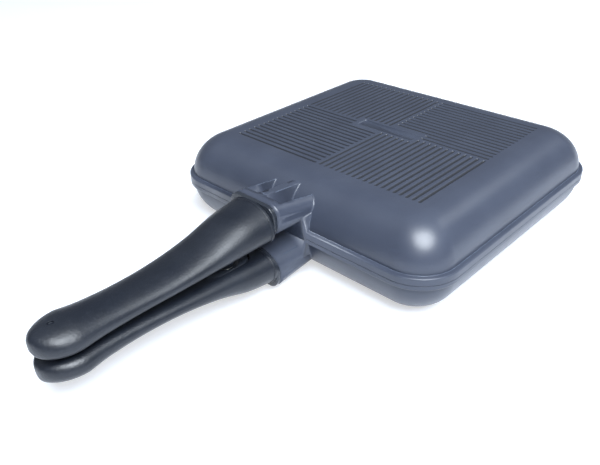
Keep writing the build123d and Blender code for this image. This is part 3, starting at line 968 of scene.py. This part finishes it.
def face_outward(piece: Piece) -> None:
    """Joins a closed piece's doubles and points its faces outward.

    Args:
        piece: The piece.
    """
    work = bmesh.new()
    work.from_mesh(piece.data)
    bmesh.ops.remove_doubles(work, verts=work.verts, dist=0.0005 * MM)
    bmesh.ops.recalc_face_normals(work, faces=work.faces)
    work.to_mesh(piece.data)
    work.free()


# ---------------------------------------------------------------- grips


@dataclass
class Grip:
    """Moulded grip of one half: a lofted body with a bead, a pocket and holes."""

    side: Side
    start: float = 166.8
    tip: float = 352.5
    tip_round: float = 25.7
    inner_at_pan: float = 6.4
    inner_at_tip: float = 0.6
    corner_share: float = 0.44
    waist_share: float = 0.4
    bead_length: float = 2.8
    bead_stand: float = 0.6
    bead_round: float = 0.5
    step: float = 2.5
    around: int = 144
    stations: tuple[tuple[float, float, float], ...] = (
        (166.8, 25.3, 36.9),
        (190.0, 24.2, 33.5),
        (220.0, 21.8, 24.0),
        (250.0, 19.8, 18.7),
        (280.0, 18.3, 17.6),
        (310.0, 18.7, 18.9),
        (326.5, 20.6, 20.9),
    )
    pocket_length: float = 45.6
    pocket_width: float = 24.6
    pocket_place: float = 199.0
    pocket_floor: float = 9.9
    pocket_points: int = 96
    screw_place: float = 188.0
    counterbore: float = 10.8
    counterbore_floor: float = 13.0
    socket_width: float = 24.3
    socket_low: float = 15.35
    socket_high: float = 23.65
    socket_end: float = 204.15
    dimple_from_tip: float = 17.0
    dimple_width: float = 4.4
    dimple_depth: float = 1.6

    def inner(self, y: float) -> float:
        """Height of the inner face at a distance from the pan's middle."""
        share = (y - self.start) / (self.tip - self.start)
        return self.inner_at_pan + (self.inner_at_tip - self.inner_at_pan) * share

    def slope(self, index: int, column: int) -> float:
        """Slope of a station's value, from its neighbours on both sides.

        Args:
            index: The station's number.
            column: The value's column.

        Returns:
            The change for each millimetre along the grip.
        """
        before = self.stations[max(index - 1, 0)]
        after = self.stations[min(index + 1, len(self.stations) - 1)]
        return (after[column] - before[column]) / (after[0] - before[0])

    def size(self, y: float) -> tuple[float, float]:
        """Half width and outer height at a distance, on smooth curves through the stations.

        Args:
            y: Distance from the pan's middle.

        Returns:
            The half width and the outer height.
        """
        index = sum(1 for station in self.stations[1:-1] if station[0] <= y)
        near, far = (self.stations[index], self.stations[index + 1])
        length = far[0] - near[0]
        t = (y - near[0]) / length
        sizes = []
        for column in (1, 2):
            leaving = self.slope(index, column) * length
            arriving = self.slope(index + 1, column) * length
            change = far[column] - near[column]
            bend = 3 * change - 2 * leaving - arriving
            sizes.append(near[column] + leaving * t + bend * t**2 + (leaving + arriving - 2 * change) * t**3)
        return sizes[0], sizes[1]

    def rings(self) -> list[tuple[float, float, float, float]]:
        """Place, half width, inner and outer height of every ring along the grip.

        Returns:
            One tuple for each ring, from the pan to the tip.
        """
        rings = []
        half_width, outer = self.size(self.start)
        inner = self.inner(self.start)
        bead_ends = (self.start, self.start + self.bead_length)
        for end, way in zip(bead_ends, (1, -1)):
            turn = [math.radians(angle) for angle in range(0, 91, 18)]
            for angle in turn if way > 0 else reversed(turn):
                sunk = self.bead_round * (1 - math.sin(angle))
                place = end + way * self.bead_round * (1 - math.cos(angle))
                stand = self.bead_stand - sunk
                rings.append((place, half_width + stand, inner - stand, outer + stand - self.bead_stand / 2))
        body_start = self.start + self.bead_length + 0.02
        last = self.stations[-1][0]
        steps = round((last - body_start) / self.step)
        for number in range(steps + 1):
            y = body_start + (last - body_start) * number / steps
            rings.append((y, self.size(y)[0], self.inner(y), self.size(y)[1]))
        half_width, outer = self.stations[-1][1:]
        for degrees in (8, 16, 24, 32, 40, 47, 54, 60, 66, 71, 76, 80, 84, 87, 89):
            angle = math.radians(degrees)
            y = last + self.tip_round * math.sin(angle)
            inner = self.inner(y)
            middle = inner + (outer - inner) / 2
            narrow, thin = (math.cos(angle), math.sqrt(math.cos(angle)))
            rings.append(
                (y, half_width * narrow, middle - (middle - inner) * thin, middle + (outer - middle) * thin)
            )
        return rings

    def guide(self) -> Mesh:
        """Draws the line along the grip that carries the sizes of its rings.

        Returns:
            A mesh of points and edges.
        """
        rings = self.rings()
        mesh = bpy.data.meshes.new("grip_guide")
        mesh.from_pydata(
            [(0.0, -ring[0] * MM, HANDLE_PLANE * MM) for ring in rings],
            [(number, number + 1) for number in range(len(rings) - 1)],
            [],
        )
        for column, name in enumerate(("half_width", "inner", "outer"), start=1):
            values = mesh.attributes.new(name, "FLOAT", "POINT")
            values.data.foreach_set("value", [ring[column] * MM for ring in rings])
        return mesh

    def lofted(self, book: FinishBook) -> Piece:
        """Skins the rings: a flat inner face with round corners and half an ellipse outside.

        Args:
            book: The materials.

        Returns:
            The closed body, without its pocket and holes.
        """
        tree = SizedTree(f"{self.side.label}_grip_loft")
        around = tree.size("Points around", self.around)
        plane = tree.length("Handle plane", HANDLE_PLANE)
        outward_sign = tree.size("Outward", self.side.outward)
        corner_share = tree.size("Corner share", self.corner_share)
        waist_share = tree.size("Waist share", self.waist_share)
        line = tree.add("GeometryNodeMeshToCurve", {"Mesh": tree.start.outputs[0]})
        values = {"Resolution": around, "Radius": 10.0 * MM}
        circle = tree.add("GeometryNodeCurvePrimitiveCircle", values, mode="RADIUS")
        index = tree.add("GeometryNodeInputIndex").outputs[0]
        turn = tree.math("DIVIDE", tree.math("MULTIPLY", index, math.tau), around)
        values = {"Geometry": circle.outputs[0], "Name": "turn", "Value": turn}
        angled = tree.add("GeometryNodeStoreNamedAttribute", values, data_type="FLOAT", domain="POINT")
        values = {"Curve": line.outputs[0], "Profile Curve": angled.outputs[0], "Fill Caps": True}
        skin = tree.add("GeometryNodeCurveToMesh", values)
        half_width, inner, outer = (tree.reading(name) for name in ("half_width", "inner", "outer"))
        angle = tree.reading("turn")
        x = tree.math("MULTIPLY", half_width, tree.math("COSINE", angle))
        height = tree.math("SUBTRACT", outer, inner)
        waist = tree.math("ADD", inner, tree.math("MULTIPLY", height, waist_share))
        run = tree.math("MULTIPLY", half_width, corner_share)
        past_flat = tree.math("SUBTRACT", tree.math("ABSOLUTE", x), tree.math("SUBTRACT", half_width, run))
        share = tree.math("MINIMUM", tree.math("DIVIDE", tree.math("MAXIMUM", past_flat, 0.0), run), 1.0)
        drop = tree.math("SQRT", tree.math("SUBTRACT", 1.0, tree.math("MULTIPLY", share, share)))
        fall = tree.math("MULTIPLY", tree.math("SUBTRACT", waist, inner), drop)
        inner_skin = tree.math("SUBTRACT", waist, fall)
        rise = tree.math("MULTIPLY", tree.math("SUBTRACT", outer, waist), tree.math("SINE", angle))
        outer_skin = tree.math("ADD", waist, rise)
        on_inner_side = tree.math("GREATER_THAN", angle, math.pi + 0.001)
        values = {0: on_inner_side, 2: outer_skin, 3: inner_skin}
        level = tree.add("ShaderNodeMix", values, data_type="FLOAT").outputs[0]
        z = tree.math("ADD", plane, tree.math("MULTIPLY", level, outward_sign))
        position = tree.add("GeometryNodeInputPosition")
        y = tree.add("ShaderNodeSeparateXYZ", {0: position.outputs[0]}).outputs["Y"]
        values = {"Geometry": skin.outputs[0], "Position": tree.vector(X=x, Y=y, Z=z)}
        placed = tree.add("GeometryNodeSetPosition", values).outputs[0]
        piece = tree.make(self.guide(), placed, book.materials[Slot.GRIP], f"{self.side.label}_grip_body")
        face_outward(piece)
        return piece

    def stadium(self, length: float, width: float, low: float, high: float) -> Mesh:
        """Upright round-ended cutter centred on the pocket.

        Args:
            length: Overall length along the grip.
            width: Width, and diameter of its ends.
            low: Height of one end from the handles' plane.
            high: Height of the other.

        Returns:
            The closed mesh.
        """
        outline = []
        straight = (length - width) / 2
        for number in range(self.pocket_points):
            angle = math.tau * (number + 0.5) / self.pocket_points
            shift = math.copysign(straight, math.sin(angle)) - self.pocket_place
            outline.append((width / 2 * math.cos(angle), shift + width / 2 * math.sin(angle)))
        return prism(outline, low, high, self.side)

    def cutters(self) -> list[Mesh]:
        """Makes the cutters of the pocket, counterbore, tang socket and dimple.

        Returns:
            Their closed meshes.
        """
        half = self.socket_width / 2
        near, far = (OVERCUT - self.start, -self.socket_end)
        socket = [(-half, far), (half, far), (half, near), (-half, near)]
        screw = round_outline(self.counterbore, 0.0, -self.screw_place)
        dimple = round_outline(self.dimple_width, 0.0, self.dimple_from_tip - self.tip)
        dimple_floor = self.stations[-1][2] - self.dimple_depth
        return [
            self.stadium(self.pocket_length, self.pocket_width, -2 * OVERCUT, self.pocket_floor),
            prism(screw, self.pocket_floor - OVERCUT, self.counterbore_floor, self.side),
            prism(socket, self.socket_low, self.socket_high, self.side),
            prism(dimple, dimple_floor, dimple_floor + 9 * OVERCUT, self.side),
        ]

    def build(self, book: FinishBook) -> Piece:
        """Makes and dresses the grip.

        Args:
            book: The materials.

        Returns:
            The finished piece.
        """
        piece = self.lofted(book)
        tools = []
        for number, mesh in enumerate(self.cutters()):
            tool = new_piece(f"grip_tool_{number}", mesh)
            cut = piece.modifiers.new(f"cut_{number}", "BOOLEAN")
            cut.operation = "DIFFERENCE"
            cut.solver = "EXACT"
            cut.object = tool
            tools.append(tool)
        applied(piece)
        for tool in tools:
            bpy.data.objects.remove(tool)
        smooth_by_angle(piece, 38.0)
        book.dress(piece, Slot.GRIP)
        return settle(piece, self.side, Slot.GRIP, f"{self.side.label}_grip")


def round_outline(diameter: float, x: float, y: float, points: int = 40) -> list[tuple[float, float]]:
    """Points of a circle, in millimetres."""
    turns = [math.tau * number / points for number in range(points)]
    return [(x + diameter / 2 * math.cos(turn), y + diameter / 2 * math.sin(turn)) for turn in turns]


def prism(outline: list[tuple[float, float]], low: float, high: float, side: Side) -> Mesh:
    """Closed upright mesh over an outline, between two heights from the plane of the handles.

    Args:
        outline: Points in the plane, in millimetres.
        low: Height of one end.
        high: Height of the other.
        side: The half that it belongs to.

    Returns:
        The mesh, in place, with faces that look out.
    """
    work = bmesh.new()
    ends = []
    for height in (low, high):
        z = (HANDLE_PLANE + side.outward * height) * MM
        ends.append([work.verts.new((x * MM, y * MM, z)) for x, y in outline])
    count = len(outline)
    work.faces.new(ends[0])
    work.faces.new(ends[1])
    for number in range(count):
        after = (number + 1) % count
        work.faces.new((ends[0][number], ends[0][after], ends[1][after], ends[1][number]))
    bmesh.ops.recalc_face_normals(work, faces=work.faces)
    mesh = bpy.data.meshes.new("prism")
    work.to_mesh(mesh)
    work.free()
    return mesh


# ---------------------------------------------------------------- catch, guards and hinge


@dataclass
class Catch:
    """Magnet carrier of one half with its magnet and its two countersunk screws."""

    side: Side
    face: float = 6.1
    place: float = 199.0
    pitch: float = 35.0
    head: float = 5.0
    head_height: float = 1.4
    shank: float = 2.5
    length: float = 8.0
    cross_length: float = 3.0
    cross_width: float = 0.6
    cross_depth: float = 0.5
    around: int = 48
    rounding: float = 0.25
    magnet_rounding: float = 0.15

    def screws(self, book: FinishBook) -> None:
        """Sets the same cross-headed screw at both ends of the carrier.

        Args:
            book: The materials.
        """
        tree = SizedTree(f"{self.side.label}_carrier_screw_row")
        pitch = tree.length("Pitch", self.pitch)
        first = tree.length("First screw", -self.place - self.pitch / 2)
        face = tree.length("Carrier face", HANDLE_PLANE + self.side.outward * self.face)
        outward_sign = tree.size("Outward", self.side.outward)
        head = tree.length("Head radius", self.head / 2)
        head_height = tree.length("Head height", self.head_height)
        shank = tree.length("Shank radius", self.shank / 2)
        length = tree.length("Length", self.length)
        cross_length = tree.length("Cross length", self.cross_length)
        cross_width = tree.length("Cross width", self.cross_width)
        cross_depth = tree.length("Cross depth", self.cross_depth * 2)
        values = {"Vertices": self.around, "Radius Top": shank, "Radius Bottom": head, "Depth": head_height}
        cone = tree.add("GeometryNodeMeshCone", values)
        values = {"Vertices": self.around, "Radius": shank, "Depth": length}
        stem = tree.add("GeometryNodeMeshCylinder", values).outputs["Mesh"]
        stem_up = tree.moved(stem, tree.vector(Z=tree.math("DIVIDE", length, 2.0)))
        solid = tree.add("GeometryNodeMeshBoolean", {"Mesh 1": cone.outputs["Mesh"]}, operation="DIFFERENCE")
        for x, y in ((cross_length, cross_width), (cross_width, cross_length)):
            bar = tree.add("GeometryNodeMeshCube", {"Size": tree.vector(X=x, Y=y, Z=cross_depth)})
            tree.tree.links.new(bar.outputs[0], solid.inputs["Mesh 2"])
        whole = tree.add("GeometryNodeJoinGeometry")
        for part in (solid.outputs[0], stem_up):
            tree.tree.links.new(part, whole.inputs[0])
        values = {"Count": 2, "Start Location": tree.vector(Y=first, Z=face), "Offset": tree.vector(Y=pitch)}
        row = tree.add("GeometryNodeMeshLine", values).outputs[0]
        stretch = tree.vector(X=1.0, Y=1.0, Z=outward_sign)
        values = {"Points": row, "Instance": whole.outputs[0], "Scale": stretch}
        placed = tree.add("GeometryNodeInstanceOnPoints", values).outputs[0]
        name = f"{self.side.label}_carrier_screw_pair"
        piece = tree.make(bpy.data.meshes.new("screw_row"), placed, book.materials[Slot.SCREW], name)
        face_outward(piece)
        smooth_by_angle(piece, 30.0)
        settle(piece, self.side, Slot.SCREW, f"{self.side.label}_carrier_screws")

    def build(self, book: FinishBook) -> None:
        """Makes the whole catch of one half.

        Args:
            book: The materials.
        """
        name = self.side.label
        rounded_node(f"{name}_magnet_carrier", "plate", self.rounding, book, self.side, Slot.CARRIER)
        rounded_node(f"{name}_magnet", "disc", self.magnet_rounding, book, self.side, Slot.MAGNET)
        self.screws(book)


@dataclass
class FlameGuard:
    """Flat ring between the bracket's collar and the grip."""

    side: Side
    rounding: float = 0.6

    def build(self, book: FinishBook) -> None:
        """Rounds and dresses the guard."""
        node = f"{self.side.label}_flame_guard"
        rounded_node(node, "ring", self.rounding, book, self.side, Slot.GUARD, 4)


@dataclass
class SmallSteel:
    """Pins, clips, grip screws and washers, with real rounded edges."""

    rounding: float = 0.12

    def build(self, book: FinishBook) -> None:
        """Rounds and dresses each small steel piece.

        Args:
            book: The materials.
        """
        for kind in ("pin", "clip"):
            for end in ("left", "right"):
                node = f"hinge_{kind}_{end}"
                rounded_node(node, "steel", self.rounding, book, Side.LOWER, Slot.HINGE, 2)
        for side in Side:
            for kind in ("grip_screw", "grip_washer"):
                node = f"{side.label}_{kind}"
                rounded_node(node, "steel", self.rounding, book, side, Slot.SCREW, 2)


# ---------------------------------------------------------------- studio


@dataclass
class Studio:
    """Pale floor, soft lights and the camera."""

    floor_size: float = 14.0
    floor_gap: float = 0.2
    floor_paint: Colour = (0.52, 0.56, 0.63)
    floor_glow: float = 0.58
    camera_place: Place = (0.3303, -0.4459, 0.3156)
    camera_target: Place = (0.06285, -0.1777, 0.0805)
    camera_roll: float = -1.95
    lens: float = 38.69
    sensor: float = 36.0
    world_tint: Colour = (0.86, 0.92, 1.0)
    world_strength: float = 0.20
    lamp_tint: Colour = (0.88, 0.94, 1.0)
    lamp_aim: Place = (0.0, 0.0, 0.05)

    def floor(self) -> None:
        """Lays the floor, white to the eye and to gloss, which still takes a shadow."""
        half = self.floor_size / 2
        corners = [(-half, -half, 0), (half, -half, 0), (half, half, 0), (-half, half, 0)]
        mesh = bpy.data.meshes.new("floor")
        mesh.from_pydata(corners, [], [(0, 1, 2, 3)])
        floor = new_piece("floor", mesh)
        floor.location = (0, 0, -self.floor_gap * MM)
        material = bpy.data.materials.new("studio_floor")
        material.use_nodes = True
        graph = NodeTree(material.node_tree)
        rays = graph.add("ShaderNodeLightPath").outputs
        seen = graph.math("MAXIMUM", rays["Is Camera Ray"], rays["Is Glossy Ray"])
        paint = graph.add("ShaderNodeBsdfDiffuse", {"Color": (*self.floor_paint, 1.0)})
        strength = graph.math("MULTIPLY", seen, self.floor_glow)
        glow = graph.add("ShaderNodeEmission", {"Color": (*WHITE, 1.0), "Strength": strength})
        both = graph.add("ShaderNodeAddShader", {0: paint.outputs[0], 1: glow.outputs[0]})
        graph.add("ShaderNodeOutputMaterial", {0: both.outputs[0]})
        mesh.materials.append(material)

    def world(self) -> None:
        """Fills the surroundings with plain soft light, white where it is seen."""
        world = bpy.data.worlds.new("studio_world")
        bpy.context.scene.world = world
        world.use_nodes = True
        graph = NodeTree(world.node_tree)
        rays = graph.add("ShaderNodeLightPath").outputs
        values = {"Color": (*self.world_tint, 1.0), "Strength": self.world_strength}
        fill = graph.add("ShaderNodeBackground", values).outputs[0]
        white = graph.add("ShaderNodeBackground", {"Color": (*WHITE, 1.0)}).outputs[0]
        mix = graph.add("ShaderNodeMixShader", {0: rays["Is Camera Ray"], 1: fill, 2: white})
        graph.add("ShaderNodeOutputWorld", {0: mix.outputs[0]})

    def lamp(
        self, name: str, azimuth: float, elevation: float, distance: float, size: float, power: float
    ) -> None:
        """Hangs a round lamp that looks at the pan.

        Args:
            name: The lamp's name.
            azimuth: Degrees round the pan from the grips' side towards +X.
            elevation: Degrees above the floor.
            distance: Metres from the pan.
            size: Diameter in metres.
            power: Watts.
        """
        data = bpy.data.lights.new(name, "AREA")
        data.shape = "DISK"
        data.size = size
        data.energy = power
        data.color = self.lamp_tint
        lamp = bpy.data.objects.new(name, data)
        bpy.context.scene.collection.objects.link(lamp)
        turn, rise = (math.radians(azimuth), math.radians(elevation))
        away = Vector((math.sin(turn) * math.cos(rise), -math.cos(turn) * math.cos(rise), math.sin(rise)))
        lamp.location = Vector(self.lamp_aim) + away * distance
        lamp.rotation_mode = "QUATERNION"
        lamp.rotation_quaternion = (-away).to_track_quat("-Z", "Y")

    def lamps(self) -> None:
        """Hangs the soft key to the right of the grips, and the weaker lamps round the pan."""
        self.lamp("key", 59.0, 55.0, 1.6, 1.15, 68.0)
        self.lamp("front", 42.0, 34.0, 2.2, 1.4, 4.0)
        self.lamp("left", -66.0, 47.0, 2.2, 1.3, 1.5)
        self.lamp("right", 84.0, 15.0, 2.2, 1.2, 1.5)
        self.lamp("back", 152.0, 42.0, 2.4, 0.9, 6.0)

    def camera(self) -> None:
        """Sets up the camera."""
        data = bpy.data.cameras.new("camera")
        data.lens = self.lens
        data.sensor_width = self.sensor
        data.sensor_fit = "HORIZONTAL"
        data.clip_start = 0.01
        data.clip_end = 50.0
        camera = bpy.data.objects.new("camera", data)
        bpy.context.scene.collection.objects.link(camera)
        camera.location = self.camera_place
        ahead = Vector(self.camera_target) - Vector(self.camera_place)
        camera.rotation_mode = "QUATERNION"
        roll = Quaternion((0.0, 0.0, 1.0), math.radians(self.camera_roll))
        camera.rotation_quaternion = ahead.to_track_quat("-Z", "Y") @ roll
        bpy.context.scene.camera = camera

    def build(self) -> None:
        """Sets up the whole studio."""
        self.camera()
        self.floor()
        self.world()
        self.lamps()
        bpy.context.scene.view_settings.view_transform = "Standard"


def main() -> None:
    """Builds every sub-assembly in order, and reports each one."""
    logging.basicConfig(level=logging.INFO, format="%(name)s: %(message)s")
    book = FinishBook().fill()
    Studio().build()
    LOG.info("studio is up")
    for pan in (HalfPan(Side.UPPER, 6.0, 4.0, 34.5), HalfPan(Side.LOWER, 4.2, 3.0, 35.4)):
        piece = pan.build(book)
        LOG.info("%s: %d faces", piece.name, len(piece.data.polygons))
    LOG.info("%s laid", RimSeal().build(book).name)
    for side in Side:
        piece = Grip(side).build(book)
        LOG.info("%s: %d faces", piece.name, len(piece.data.polygons))
        FlameGuard(side).build(book)
        Catch(side).build(book)
        LOG.info("%s guard and catch fitted", side.label)
    SmallSteel().build(book)
    LOG.info("pins, clips, screws and washers fitted")


if __name__ == "__main__":
    main()
